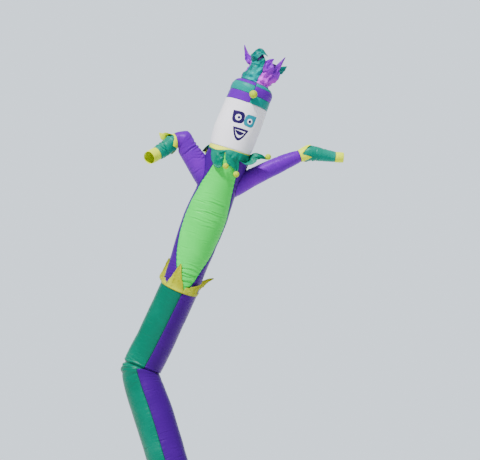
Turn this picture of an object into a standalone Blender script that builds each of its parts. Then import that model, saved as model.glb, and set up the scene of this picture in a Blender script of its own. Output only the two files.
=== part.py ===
# Inflatable air dancer: an open cloth tube with jester panels, two sleeves, a pointed collar
# and a crown of loose points. It stands on the flat hem of its mouth.
# Units are metres, +Z is up, the front faces -Y, the origin is the centre of the mouth.

import math

import bmesh
import bpy
import numpy as np
from mathutils import Matrix, Vector

WALL = 0.0025            # cloth wall
TRIM_WALL = 0.002        # cloth of the loose points
SEAM = 0.0003            # gap between two pieces that are sewn together
BAND_LIFT = 0.0025       # how far the collar and the waist strips sit off the cloth under them
CUFF_LIFT = 0.0016        # the same for a cuff, on a glove with as many columns
CUT_GAP = 0.0006         # gap left where a sleeve meets the torso, and under the crown
TUBE_COLUMNS = 24        # faces round the body tube
SLEEVE_COLUMNS = 14      # faces round an arm
POINT_ROWS = 5           # rows of faces along one loose point
BACK_SEAM = 180.0        # angle of the centre back, with 0 at the front

GREEN = (0.012, 0.27, 0.16)
PURPLE = (0.12, 0.012, 0.50)
TEAL = (0.02, 0.52, 0.38)
LIME = (0.20, 0.66, 0.19)
YELLOW = (0.78, 0.76, 0.10)
GOLD = (0.50, 0.44, 0.05)
WHITE = (0.82, 0.80, 0.90)

# Body tube. One row for each section, from the mouth up:
# x, y, z of the centre, lean to the right in degrees, radius, front seam angle, rings
LEG = [
    (0.000, 0.000, 0.000, 0.0, 0.2286, -4, 2),
    (-0.026, 0.013, 0.160, -12.0, 0.2286, -4, 2),
    (-0.098, 0.042, 0.390, -16.5, 0.2280, -4, 3),
    (-0.312, 0.120, 1.086, -17.0, 0.2270, -4, 2),
    (-0.452, 0.172, 1.540, -17.0, 0.2290, -4, 2),
    (-0.568, 0.222, 1.872, -17.0, 0.2225, -5, 1),
    (-0.597, 0.236, 1.960, -7.5, 0.2200, -6, 1),
    (-0.617, 0.243, 2.040, 1.5, 0.2210, -8, 1),
    (-0.628, 0.246, 2.098, 11.0, 0.2300, -8, 1),
    (-0.611, 0.246, 2.139, 19.0, 0.2185, 10, 1),
    (-0.583, 0.243, 2.200, 24.0, 0.2250, 11, 1),
    (-0.548, 0.236, 2.270, 25.3, 0.2270, 12, 2),
    (-0.454, 0.195, 2.454, 25.3, 0.2212, 13, 2),
    (-0.330, 0.130, 2.715, 25.0, 0.2212, 15, 2),
    (-0.179, 0.040, 3.032, 23.0, 0.2206, 17, 0),
]

# Torso: x, y, z, radius, left and right edge of the belly panel in degrees, rings
TORSO = [
    (-0.179, 0.040, 3.032, 0.2206, 14.5, 19.5, 1),
    (-0.162, 0.032, 3.078, 0.2200, 6, 30, 2),
    (-0.128, 0.016, 3.170, 0.2185, -14, 43, 2),
    (-0.083, -0.002, 3.297, 0.2200, -34, 54, 2),
    (-0.014, -0.030, 3.477, 0.2332, -53, 70, 3),
    (0.107, -0.080, 3.792, 0.2457, -68, 80, 2),
    (0.163, -0.100, 3.935, 0.2400, -68, 76, 2),
    (0.230, -0.130, 4.109, 0.2280, -60, 62, 3),
    (0.298, -0.160, 4.312, 0.2330, -36, 50, 2),
    (0.347, -0.183, 4.450, 0.2460, -24, 42, 1),
    (0.386, -0.201, 4.542, 0.2400, -18, 38, 0),
]

# Neck band, head, hat and crown: x, y, z, radius, rings
NECK = [
    (0.386, -0.201, 4.542, 0.2410, 1),
    (0.404, -0.208, 4.600, 0.2410, 0),
]
HEAD = [
    (0.404, -0.208, 4.600, 0.2420, 2),
    (0.467, -0.220, 4.800, 0.2560, 2),
    (0.571, -0.231, 5.062, 0.2480, 1),
    (0.588, -0.233, 5.111, 0.2465, 0),
]
HAT_LOW = [
    (0.588, -0.233, 5.111, 0.2480, 1),
    (0.627, -0.239, 5.211, 0.2440, 0),
]
HAT_MIDDLE = [
    (0.627, -0.239, 5.211, 0.2450, 1),
    (0.646, -0.242, 5.260, 0.2470, 1),
    (0.665, -0.245, 5.309, 0.2330, 0),
]
HAT_TOP = [
    (0.665, -0.245, 5.309, 0.2320, 1),
    (0.675, -0.2465, 5.335, 0.2080, 1),
    (0.681, -0.2475, 5.350, 0.1740, 0),
]
CROWN = [
    (0.681, -0.2475, 5.350, 0.1690, 1),
    (0.708, -0.251, 5.405, 0.1810, 1),
    (0.740, -0.254, 5.458, 0.1890, 1),
    (0.772, -0.256, 5.507, 0.1920, 0),
]
HAT_SEAM = 9.0           # the hat's front seam
HAT_QUADRANTS = 4

# Arms: x, y, z, lean to the right in degrees, radius, rings.
# The first row of a sleeve lies inside the torso.
LEFT_SLEEVE = [
    (0.200, -0.142, 4.175, -33, 0.1330, 1),
    (0.108, -0.165, 4.316, -33, 0.1330, 2),
    (-0.005, -0.200, 4.498, -33, 0.1240, 2),
    (-0.090, -0.230, 4.624, -38, 0.1130, 1),
    (-0.134, -0.246, 4.705, -64, 0.1120, 1),
    (-0.191, -0.257, 4.703, -90, 0.0900, 1),
    (-0.222, -0.268, 4.687, -104, 0.0870, 0),
]
LEFT_GLOVE = [
    (-0.222, -0.268, 4.687, -104, 0.0850, 1),
    (-0.258, -0.288, 4.660, -116, 0.0890, 2),
    (-0.324, -0.328, 4.602, -127, 0.0880, 2),
    (-0.391, -0.367, 4.549, -127, 0.0820, 1),
    (-0.424, -0.390, 4.525, -125, 0.0740, 0),
]
LEFT_HAND = [
    (-0.424, -0.390, 4.525, -125, 0.0760, 1),
    (-0.469, -0.430, 4.493, -125, 0.0780, 1),
    (-0.510, -0.482, 4.464, -125, 0.0740, 0),
]
RIGHT_SLEEVE = [
    (0.370, -0.116, 4.138, 62, 0.1120, 1),
    (0.475, -0.112, 4.193, 62, 0.1120, 1),
    (0.579, -0.106, 4.250, 62, 0.1070, 2),
    (0.868, -0.088, 4.400, 64, 0.0980, 2),
    (1.057, -0.074, 4.488, 66, 0.0860, 1),
    (1.140, -0.066, 4.523, 67, 0.0770, 1),
    (1.193, -0.060, 4.544, 70, 0.0660, 0),
]
RIGHT_GLOVE = [
    (1.193, -0.060, 4.544, 70, 0.0650, 1),
    (1.247, -0.050, 4.562, 76, 0.0780, 1),
    (1.312, -0.040, 4.582, 86, 0.0900, 2),
    (1.454, -0.020, 4.565, 98, 0.0750, 2),
    (1.604, 0.000, 4.542, 96, 0.0590, 0),
]
RIGHT_HAND = [
    (1.604, 0.000, 4.542, 96, 0.0600, 1),
    (1.650, 0.005, 4.539, 93, 0.0615, 1),
    (1.699, 0.010, 4.537, 92, 0.0595, 0),
]

# Soft cross folds pressed into the torso's lower front: z, angle, half span in degrees, depth
FOLDS = [
    (3.100, -20, 75, 0.011),
    (3.170, 25, 70, 0.012),
    (3.245, -5, 75, 0.010),
    (3.905, -10, 70, 0.007),
    (4.040, 15, 75, 0.008),
]
FOLD_WIDTH = 0.026

# Loose points. Each row: first column, columns, then the middle and the tip as
# (along the tube, off its surface, turn round it in degrees), width at the middle, twist
COLLAR_POINTS = [
    (0, 4, (0.120, 0.020, 16), (0.122, 0.050, 45), 0.46, 0),
    (4, 4, (0.088, 0.018, 2), (0.148, 0.046, 14), 0.52, 0),
    (8, 4, (-0.006, 0.088, 0), (-0.085, 0.190, 0), 0.60, 90),
    (12, 4, (0.100, 0.050, 0), (0.190, 0.110, 4), 0.55, 0),
    (16, 4, (0.100, 0.050, 0), (0.200, 0.080, -6), 0.55, 0),
    (20, 4, (0.030, 0.034, -4), (0.050, 0.048, -14), 0.50, 0),
]
WAIST_LEFT_POINTS = [
    (0, 4, (0.100, 0.030, 0), (0.200, 0.060, 4), 0.60, 0),
    (4, 4, (0.135, 0.040, -2), (0.270, 0.010, 4), 0.55, 0),
    (8, 4, (0.140, 0.006, 0), (0.260, 0.012, -10), 0.60, 0),
]
WAIST_RIGHT_POINTS = [
    (0, 4, (0.065, 0.016, 1), (0.150, 0.030, 8), 0.62, 0),
    (4, 4, (0.150, 0.022, 0), (0.265, 0.107, 0), 0.30, 0),
    (8, 4, (0.110, 0.030, 0), (0.210, 0.060, 0), 0.60, 0),
]
CROWN_POINTS = {
    "front_left": [
        (0, 3, (0.100, 0.010, 0), (0.235, -0.040, 27), 0.95, 15),
        (3, 3, (0.060, -0.010, -2), (0.115, -0.035, -4), 0.70, 0),
    ],
    "front_right": [
        (0, 3, (0.095, 0.008, 0), (0.185, -0.060, -6), 0.95, 0),
        (3, 3, (0.115, -0.012, 0), (0.262, -0.040, 0), 0.85, -55),
    ],
    "back_right": [
        (0, 3, (0.100, 0.010, 0), (0.195, 0.030, -8), 0.60, -40),
        (3, 3, (0.080, -0.030, 0), (0.150, -0.070, -8), 0.70, 0),
    ],
    "back_left": [
        (0, 3, (0.090, -0.020, 0), (0.175, -0.050, 4), 0.75, 0),
        (3, 3, (0.040, 0.060, 0), (0.140, 0.150, 4), 0.55, 60),
    ],
}
LEFT_CUFF_POINTS = [
    (2, 3, (0.070, 0.026, 0), (0.105, 0.100, 0), 0.75, 0),
    (5, 3, (0.045, 0.006, 0), (0.090, 0.012, 0), 0.55, 0),
    (8, 3, (0.045, 0.007, 0), (0.090, 0.014, 0), 0.55, 0),
    (11, 4, (0.040, 0.006, 0), (0.080, 0.012, 0), 0.55, 0),
]
RIGHT_CUFF_POINTS = [
    (0, 3, (0.050, 0.004, 0), (0.105, 0.008, 0), 0.55, 0),
    (3, 4, (0.045, 0.004, 0), (0.095, 0.008, 0), 0.55, 0),
    (7, 3, (0.045, 0.004, 0), (0.100, 0.010, 0), 0.55, 0),
    (10, 4, (0.050, 0.006, 0), (0.110, 0.014, 0), 0.55, 0),
]
COLLAR_START = -75.0     # angle of the collar's first column
COLLAR_DROP = 0.012      # its points grow from here, below the neck seam
COLLAR_RISE = (0.016, 0.064)   # height of the collar above that, at its left and at its right
WAIST_BAND = 0.022
CUFF_BAND = 0.024
TIP_WIDTH = 0.06         # width of a point's tip, as a share of its root
BALL_RADIUS = 0.036
HAT_BALL_RADIUS = 0.048


def clear_scene():
    for item in list(bpy.data.objects):
        bpy.data.objects.remove(item, do_unlink=True)


def unit(vector):
    return vector / np.linalg.norm(vector)


def eased(knots, values, places):
    """Smooth curve through values that never swings past them."""
    steps = np.diff(knots)
    slopes = np.diff(values) / steps
    tangents = np.zeros(len(values))
    tangents[0], tangents[-1] = slopes[0], slopes[-1]
    for i in range(1, len(values) - 1):
        if slopes[i - 1] * slopes[i] > 0:
            before, after = 2 * steps[i] + steps[i - 1], steps[i] + 2 * steps[i - 1]
            tangents[i] = (before + after) / (before / slopes[i - 1] + after / slopes[i])
    result = []
    for place in places:
        i = min(int(np.searchsorted(knots, place, side="right")) - 1, len(steps) - 1)
        t = (place - knots[i]) / steps[i]
        result.append(
            (2 * t**3 - 3 * t**2 + 1) * values[i]
            + (t**3 - 2 * t**2 + t) * steps[i] * tangents[i]
            + (3 * t**2 - 2 * t**3) * values[i + 1]
            + (t**3 - t**2) * steps[i] * tangents[i + 1]
        )
    return np.array(result)


class Ring:
    """One cross-section of a tube: its centre, its three directions and its values."""

    def __init__(self, centre, along, radius, values=()):
        self.centre = np.array(centre, dtype=float)
        self.along = unit(np.array(along, dtype=float))
        toward_front = np.array([0.0, -1.0, 0.0])
        self.front = unit(toward_front - self.along * toward_front.dot(self.along))
        self.across = np.cross(self.along, self.front)
        self.radius = radius
        self.values = values

    def out(self, angle):
        turn = math.radians(angle)
        return self.front * math.cos(turn) + self.across * math.sin(turn)

    def point(self, angle, lift=0.0):
        return self.centre + self.out(angle) * (self.radius + lift)

    def moved(self, distance):
        return Ring(self.centre + self.along * distance, self.along, self.radius, self.values)


def rings_of(table, leaning=False):
    """Rings through a table's rows. Its last column says how many rings each span gets."""
    rows = np.array(table, dtype=float)
    lengths = np.linalg.norm(np.diff(rows[:, :3], axis=0), axis=1)
    knots = np.concatenate([[0.0], np.cumsum(lengths)])
    places = [knots[0]]
    for i, count in enumerate(rows[:-1, -1].astype(int)):
        places += list(np.linspace(knots[i], knots[i + 1], count + 1)[1:])
    columns = np.array([eased(knots, rows[:, c], places) for c in range(rows.shape[1] - 1)]).T
    rings = []
    for i, row in enumerate(columns):
        before, after = columns[max(i - 1, 0)], columns[min(i + 1, len(columns) - 1)]
        along = unit(after[:3] - before[:3])
        rest = row[3:]
        if leaning:
            lean = math.radians(rest[0])
            upright = math.hypot(along[0], along[2])
            along = np.array([upright * math.sin(lean), along[1], upright * math.cos(lean)])
            rest = rest[1:]
        rings.append(Ring(row[:3], along, rest[0], tuple(rest[1:])))
    return rings


def steps_of(rings):
    return [np.linalg.norm(b.centre - a.centre) for a, b in zip(rings, rings[1:])]


def length_of(rings):
    return sum(steps_of(rings))


def meet(*runs):
    """Start each run in the plane that the run before it ends in."""
    for low, high in zip(runs, runs[1:]):
        high[0] = Ring(high[0].centre, low[-1].along, high[0].radius, high[0].values)


class Way:
    """Tube that a band lies on. Distances start at the roots of the band's points."""

    def __init__(self, rings, start, lift, heading=1):
        self.rings = rings
        self.lift = lift
        self.knots = np.concatenate([[0.0], np.cumsum(steps_of(rings))])
        self.start = self.knots[-1] + start if start < 0 else start
        self.heading = heading

    def at(self, distance):
        place = self.start + self.heading * distance
        if place >= self.knots[-1]:
            return self.rings[-1].moved(place - self.knots[-1])
        if place <= 0:
            return self.rings[0].moved(place)
        i = int(np.searchsorted(self.knots, place, side="right")) - 1
        low, high = self.rings[i], self.rings[i + 1]
        t = (place - self.knots[i]) / (self.knots[i + 1] - self.knots[i])
        centre = low.centre * (1 - t) + high.centre * t
        return Ring(centre, low.along * (1 - t) + high.along * t, low.radius * (1 - t) + high.radius * t)


def new_material(name, colour, roughness=0.42):
    material = bpy.data.materials.new(name)
    material.use_nodes = True
    shader = material.node_tree.nodes["Principled BSDF"]
    shader.inputs["Base Color"].default_value = (*colour, 1.0)
    shader.inputs["Roughness"].default_value = roughness
    return material


def new_object(name, mesh_builder, colour, sharp_angle=40.0):
    """Object from a bmesh, with its faces turned outward and its own material."""
    bmesh.ops.recalc_face_normals(mesh_builder, faces=mesh_builder.faces)
    mesh = bpy.data.meshes.new(name)
    mesh_builder.to_mesh(mesh)
    mesh_builder.free()
    mesh.shade_smooth()
    mesh.set_sharp_from_angle(angle=math.radians(sharp_angle))
    mesh.materials.append(new_material(name, colour))
    item = bpy.data.objects.new(name, mesh)
    bpy.context.collection.objects.link(item)
    return item


def fold_depth(ring, angle):
    """How far the lower torso's cross folds press in at this place."""
    depth = 0.0
    for height, middle, span, most in FOLDS:
        away = abs((angle - middle + 180) % 360 - 180)
        if away < span:
            rise = ring.point(angle)[2] - height - 0.05 * math.sin(math.radians(angle + 30))
            depth += most * math.cos(math.pi * away / span / 2) ** 2 * math.exp(-(rise / FOLD_WIDTH) ** 2)
    return depth


def two_faces(builder, a, b, c, d):
    """Fill a skewed quad with two triangles, split the same way in every skin."""
    builder.faces.new((a, b, c))
    builder.faces.new((a, c, d))


def shell(name, rings, colour, columns, edges=None, press=None):
    """Closed cloth wall on a run of rings, all round or between two edge angles."""
    rows = [rings[0].moved(SEAM / 2)] + rings[1:-1] + [rings[-1].moved(-SEAM / 2)]
    builder = bmesh.new()
    skins = []
    for depth in (0.0, WALL):
        grid = []
        for ring in rows:
            if edges:
                first, last = edges(ring)
                inset = math.degrees(SEAM / 2 / (ring.radius - WALL))
                angles = np.linspace(first + inset, last - inset, columns + 1)
            else:
                angles = np.linspace(0, 360, columns, endpoint=False)
            pressed = [press(ring, a) if press else 0.0 for a in angles]
            grid.append([
                builder.verts.new(ring.point(a, -depth - p)) for a, p in zip(angles, pressed)
            ])
        skins.append(grid)
    outer, inner = skins
    count = len(outer[0])
    for i in range(len(rows) - 1):
        for j in range(columns):
            k = (j + 1) % count
            two_faces(builder, outer[i][j], outer[i][k], outer[i + 1][k], outer[i + 1][j])
            two_faces(builder, inner[i][j], inner[i][k], inner[i + 1][k], inner[i + 1][j])
    for i in (0, len(rows) - 1):
        for j in range(columns):
            k = (j + 1) % count
            builder.faces.new((outer[i][j], inner[i][j], inner[i][k], outer[i][k]))
    if edges:
        for j in (0, columns):
            for i in range(len(rows) - 1):
                builder.faces.new((outer[i][j], outer[i + 1][j], inner[i + 1][j], inner[i][j]))
    return new_object(name, builder, colour)


def solid_tube(name, rings, lift, angles_of):
    """Closed guide body on a run of rings, for cutting only."""
    builder = bmesh.new()
    grid = [[builder.verts.new(ring.point(a, lift)) for a in angles_of(ring)] for ring in rings]
    count = len(grid[0])
    for low, high in zip(grid, grid[1:]):
        for j in range(count):
            k = (j + 1) % count
            two_faces(builder, low[j], low[k], high[k], high[j])
    builder.faces.new(grid[0])
    builder.faces.new(grid[-1])
    item = new_object(name, builder, WHITE)
    item.hide_render = True
    item.display_type = "WIRE"
    return item


def cut(item, cutter):
    boolean = item.modifiers.new(cutter.name, "BOOLEAN")
    boolean.operation = "DIFFERENCE"
    boolean.object = cutter


def bent(middle, tip, t):
    """Value at t of a curve that starts at 0 and passes the middle value halfway."""
    control = middle * 2 - tip / 2
    return control * 2 * t * (1 - t) + tip * t**2


def grow_point(builder, root, root_angles, way, point):
    """Grow one tapering point from a run of edge vertices and return its tip and heading."""
    _, _, middle, tip, middle_width, twist = point
    middle_angle = (root_angles[0] + root_angles[-1]) / 2
    root_heading = Vector(way.at(0).along * way.heading)

    def place_at(t):
        along, lift, turn = (bent(m, e, t) for m, e in zip(middle, tip))
        ring = way.at(along)
        angle, height = middle_angle + turn, way.lift + lift
        return ring, angle, height, ring.point(angle, height)

    row = root
    for i in range(1, POINT_ROWS + 1):
        t = i / POINT_ROWS
        width = eased(np.array([0, 0.5, 1.0]), np.array([1.0, middle_width, TIP_WIDTH]), [t])[0]
        ring, angle, lift, place = place_at(t)
        heading = Vector(unit(place - place_at(t - 0.5 / POINT_ROWS)[3]))
        turn = root_heading.rotation_difference(heading).to_matrix()
        spin = Matrix.Rotation(math.radians(twist * t), 3, heading)
        reach = way.at(0).radius / (ring.radius + lift)
        following = []
        for root_angle in root_angles:
            spread = (root_angle - middle_angle) * width * reach
            offset = Vector(ring.point(angle + spread, lift) - place)
            following.append(builder.verts.new(Vector(place) + spin @ turn @ offset))
        for j in range(len(row) - 1):
            builder.faces.new((row[j], row[j + 1], following[j + 1], following[j]))
        row = following
    return place, np.array(heading)


def pointed_band(name, way, angles, points, colour, depths, closed=False):
    """Band of cloth round a tube, with points that grow from its last row."""
    builder = bmesh.new()
    grid = []
    for depth_of in depths:
        grid.append([builder.verts.new(way.at(-depth_of(a)).point(a, way.lift)) for a in angles])
    count = len(angles)
    for low, high in zip(grid, grid[1:]):
        for j in range(count if closed else count - 1):
            k = (j + 1) % count
            builder.faces.new((low[j], low[k], high[k], high[j]))
    step = angles[1] - angles[0]
    tips = []
    for point in points:
        first, width = point[0], point[1]
        root = [grid[-1][(first + j) % count] for j in range(width + 1)]
        root_angles = [angles[0] + step * (first + j) for j in range(width + 1)]
        tips.append(grow_point(builder, root, root_angles, way, point))
    item = new_object(name, builder, colour)
    turn_outward(item, way.at(0))
    solidify = item.modifiers.new("wall", "SOLIDIFY")
    solidify.thickness = TRIM_WALL
    solidify.offset = 1.0
    return tips


def turn_outward(item, ring):
    """Face the open sheet away from the tube's axis."""
    mesh = item.data
    face = mesh.polygons[0]
    away = np.array(face.center) - ring.centre
    if away.dot(np.array(face.normal)) < 0:
        mesh.flip_normals()


def ball(name, centre, toward, radius, colour):
    """Small stuffed ball whose pole faces the place it is sewn to."""
    builder = bmesh.new()
    bmesh.ops.create_uvsphere(builder, u_segments=10, v_segments=7, radius=radius)
    turn = Vector((0, 0, 1)).rotation_difference(Vector(toward))
    bmesh.ops.rotate(builder, verts=builder.verts, matrix=turn.to_matrix())
    item = new_object(name, builder, colour, sharp_angle=80)
    item.location = Vector(centre)
    return item


def even_angles(count, first=0.0):
    return np.linspace(first, first + 360, count, endpoint=False)


def make_leg(rings):
    rings[0] = Ring((0.0, 0.0, -SEAM / 2), (0, 0, 1), rings[0].radius, rings[0].values)
    columns = TUBE_COLUMNS // 2
    shell("leg_green", rings, GREEN, columns, lambda r: (r.values[0] - BACK_SEAM, r.values[0]))
    shell("leg_purple", rings, PURPLE, columns, lambda r: (r.values[0], r.values[0] + BACK_SEAM))


def make_torso(rings):
    seam = LEG[-1][5]
    third = TUBE_COLUMNS // 3
    shell("belly_panel", rings, LIME, third, lambda r: r.values, fold_depth)
    left = shell("torso_left", rings, PURPLE, third, lambda r: (seam - BACK_SEAM, r.values[0]), fold_depth)
    right = shell("torso_right", rings, PURPLE, third, lambda r: (r.values[1], seam + BACK_SEAM), fold_depth)

    def panel_angles(ring):
        corners = (ring.values[0], ring.values[1], seam + BACK_SEAM, ring.values[0] + 360)
        spans = zip(corners, corners[1:])
        return np.concatenate([np.linspace(a, b, third, endpoint=False) for a, b in spans])

    guide = solid_tube("guide_torso", rings, CUT_GAP, panel_angles)
    return left, right, guide


def make_arm(side, sleeve_table, glove_table, hand_table, cuff_points, torso_panel, torso_guide):
    sleeve, glove, hand = (
        rings_of(table, leaning=True) for table in (sleeve_table, glove_table, hand_table)
    )
    meet(sleeve, glove, hand)
    item = shell(f"sleeve_{side}", sleeve, PURPLE, SLEEVE_COLUMNS)
    cut(item, torso_guide)
    guide = solid_tube(f"guide_arm_{side}", sleeve[:4], -WALL, lambda r: even_angles(SLEEVE_COLUMNS))
    cut(torso_panel, guide)
    shell(f"glove_{side}", glove, TEAL, SLEEVE_COLUMNS)
    shell(f"hand_{side}", hand, YELLOW, SLEEVE_COLUMNS)
    way = Way(glove, CUFF_LIFT + CUFF_BAND, CUFF_LIFT)
    angles = even_angles(SLEEVE_COLUMNS)
    pointed_band(f"cuff_{side}", way, angles, cuff_points, YELLOW, strip(CUFF_BAND), closed=True)


def strip(height):
    """Rows of a band of even height."""
    return [lambda a: height, lambda a: 0.0]


def make_hat(low, middle, top, crown):
    """Three rows of panels whose colours alternate round the hat and up it."""
    quarter = 360 / HAT_QUADRANTS
    columns = TUBE_COLUMNS // HAT_QUADRANTS
    names = ("front_right", "back_right", "back_left", "front_left")
    for row, (level, rings) in enumerate((("low", low), ("middle", middle), ("top", top))):
        for i, name in enumerate(names):
            first = HAT_SEAM + quarter * i
            colour = TEAL if (i + row) % 2 == 0 else PURPLE
            shell(f"hat_{level}_{name}", rings, colour, columns, lambda r, a=first: (a, a + quarter))
    height = length_of(crown)
    way = Way(crown, height, 0.0)
    rows = [lambda a, share=share: share * (height - CUT_GAP) for share in (1.0, 0.67, 0.33, 0.0)]
    for i, name in enumerate(names):
        first = HAT_SEAM + quarter * i
        inset = math.degrees(SEAM / crown[0].radius)
        angles = np.linspace(first + inset, first + quarter - inset, columns + 1)
        colour = PURPLE if i % 2 == 0 else TEAL
        pointed_band(f"crown_{name}", way, angles, CROWN_POINTS[name], colour, rows)
    centre = middle[0].point(HAT_SEAM, HAT_BALL_RADIUS + SEAM)
    ball("hat_ball", centre, -middle[0].out(HAT_SEAM), HAT_BALL_RADIUS, YELLOW)


def make_collar(torso, neck):
    """Pointed collar over the neck seam. It hides the neck band but for its left side."""
    way = Way(torso + neck[1:], -(COLLAR_DROP + length_of(neck)), BAND_LIFT, heading=-1)
    low, high = COLLAR_RISE

    def rise(angle):
        return low + (high - low) * (1 + math.sin(math.radians(angle))) ** 0.5 / 2**0.5

    angles = even_angles(TUBE_COLUMNS, COLLAR_START)
    tips = pointed_band("collar", way, angles, COLLAR_POINTS, GREEN, [rise, lambda a: 0.0], closed=True)
    for i, (place, heading) in enumerate(tips):
        centre = place + heading * (BALL_RADIUS + SEAM)
        ball(f"collar_ball_{i + 1}", centre, -heading, BALL_RADIUS, GOLD)


def make_waist(torso):
    """Two yellow strips of points sewn into the waist seam, standing up round the torso."""
    way = Way(torso, SEAM + WAIST_BAND, BAND_LIFT)
    seam = LEG[-1][5]
    inset = math.degrees(SEAM / torso[0].radius)
    columns = TUBE_COLUMNS // 2
    rows = strip(WAIST_BAND)
    left = np.linspace(seam - BACK_SEAM + inset, seam - inset, columns + 1)
    right = np.linspace(seam + inset, seam + BACK_SEAM - inset, columns + 1)
    pointed_band("waist_points_left", way, left, WAIST_LEFT_POINTS, GOLD, rows)
    pointed_band("waist_points_right", way, right, WAIST_RIGHT_POINTS, GOLD, rows)


clear_scene()
leg_rings = rings_of(LEG, leaning=True)
torso_rings, neck_rings, head_rings, low_rings, middle_rings, top_rings, crown_rings = (
    rings_of(table) for table in (TORSO, NECK, HEAD, HAT_LOW, HAT_MIDDLE, HAT_TOP, CROWN)
)
meet(leg_rings, torso_rings, neck_rings, head_rings, low_rings, middle_rings, top_rings, crown_rings)
make_leg(leg_rings)
torso_left, torso_right, guide_torso = make_torso(torso_rings)
make_arm("left", LEFT_SLEEVE, LEFT_GLOVE, LEFT_HAND, LEFT_CUFF_POINTS, torso_left, guide_torso)
make_arm("right", RIGHT_SLEEVE, RIGHT_GLOVE, RIGHT_HAND, RIGHT_CUFF_POINTS, torso_right, guide_torso)
shell("neck_band", neck_rings, YELLOW, TUBE_COLUMNS)
shell("head", head_rings, WHITE, TUBE_COLUMNS)
make_hat(low_rings, middle_rings, top_rings, crown_rings)
make_collar(torso_rings, neck_rings)
make_waist(torso_rings)
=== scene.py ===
# Inflatable air dancer in sewn nylon: leg, torso, sleeves, collar, head, hat and crown.
# Metres, +Z up. The front faces -Y and the centre of the open mouth is the origin.
import math

import bmesh
import bpy
import numpy as np
from mathutils import Matrix, Vector
from mathutils.geometry import delaunay_2d_cdt


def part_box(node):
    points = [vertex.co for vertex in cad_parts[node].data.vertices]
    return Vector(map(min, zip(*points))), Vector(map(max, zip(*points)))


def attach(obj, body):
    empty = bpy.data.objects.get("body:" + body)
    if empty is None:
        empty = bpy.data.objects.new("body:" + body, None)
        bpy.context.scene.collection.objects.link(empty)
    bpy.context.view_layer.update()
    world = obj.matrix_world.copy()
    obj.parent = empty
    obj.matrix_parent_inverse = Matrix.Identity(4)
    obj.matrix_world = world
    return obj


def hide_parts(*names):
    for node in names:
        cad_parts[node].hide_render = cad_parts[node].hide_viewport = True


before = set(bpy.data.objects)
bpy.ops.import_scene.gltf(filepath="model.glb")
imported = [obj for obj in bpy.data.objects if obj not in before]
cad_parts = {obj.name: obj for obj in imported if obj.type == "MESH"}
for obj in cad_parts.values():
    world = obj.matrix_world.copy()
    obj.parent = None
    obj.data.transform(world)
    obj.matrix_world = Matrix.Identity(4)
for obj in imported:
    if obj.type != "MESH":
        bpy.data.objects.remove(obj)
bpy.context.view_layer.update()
print("frame loaded:", len(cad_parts), "nodes")


def newObject(name, data):
    item = bpy.data.objects.new(name, data)
    bpy.context.scene.collection.objects.link(item)
    return item


def newMesh(name, points, faces):
    mesh = bpy.data.meshes.new(name)
    mesh.from_pydata([tuple(p) for p in points], [], faces)
    return mesh


def setInputs(node, values):
    for socket, value in values.items():
        node.inputs[socket].default_value = value


def setRamp(node, *numbers):
    setInputs(node, dict(zip(("From Min", "From Max", "To Min", "To Max"), numbers)))


# Camera, light and floor

view = {
    "place": (0.514, -25.0, 0.9),
    "tiltUp": 6.39,            # degrees
    "sensor": 36.0,            # mm
    "metresAcross": 5.4864,    # width of the picture at the figure
    "figureDistance": 25.16,
    "farClip": 200.0,
}
light = {
    "sunTurn": (38, 0, -24),   # degrees: from above, in front and to the left
    "sunPower": 7.4,
    "sunSize": 5,              # degrees, so that shadows stay soft
    "sunColour": (1.0, 0.97, 0.92),
    "skyColour": (0.74, 0.83, 0.93),
    "skyPower": (0.36, 1.6),   # all round, and behind the figure
    "skyReach": (0.62, 0.93),  # share of the view towards the back where the bright part starts and is full
    "floorColour": (0.72, 0.73, 0.74),
    "floorRoughness": 0.8,
    "floorSize": 60.0,
}


def makeCamera():
    lens = bpy.data.cameras.new("viewer")
    lens.sensor_width = view["sensor"]
    lens.lens = view["sensor"] * view["figureDistance"] / view["metresAcross"]
    lens.clip_end = view["farClip"]
    camera = newObject("viewer", lens)
    camera.location = view["place"]
    camera.rotation_euler = (math.radians(90 + view["tiltUp"]), 0, 0)
    bpy.context.scene.camera = camera


def makeLight():
    sun = bpy.data.lights.new("key", "SUN")
    sun.energy = light["sunPower"]
    sun.angle = math.radians(light["sunSize"])
    sun.color = light["sunColour"]
    newObject("key", sun).rotation_euler = [math.radians(a) for a in light["sunTurn"]]
    sky = bpy.data.worlds.new("studio")
    sky.use_nodes = True
    nodes, links = sky.node_tree.nodes, sky.node_tree.links
    background = nodes["Background"]
    setInputs(background, {"Color": (*light["skyColour"], 1)})
    direction, parts, reach = (nodes.new(f"ShaderNode{kind}") for kind in ("TexCoord", "SeparateXYZ", "MapRange"))
    reach.interpolation_type = "SMOOTHSTEP"
    links.new(direction.outputs["Generated"], parts.inputs[0])
    links.new(parts.outputs["Y"], reach.inputs["Value"])
    setRamp(reach, *light["skyReach"], *light["skyPower"])
    links.new(reach.outputs["Result"], background.inputs["Strength"])
    bpy.context.scene.world = sky


def makeFloor():
    half = light["floorSize"] / 2
    mesh = newMesh("floor", [(-half, -half, 0), (half, -half, 0), (half, half, 0), (-half, half, 0)], [(0, 1, 2, 3)])
    floor = newObject("floor", mesh)
    paint = bpy.data.materials.new("floorPaint")
    paint.use_nodes = True
    shader = paint.node_tree.nodes["Principled BSDF"]
    setInputs(shader, {"Base Color": (*light["floorColour"], 1), "Roughness": light["floorRoughness"]})
    mesh.materials.append(paint)


makeCamera()
makeLight()
makeFloor()
print("camera, light and floor ready")


# Nylon

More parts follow.
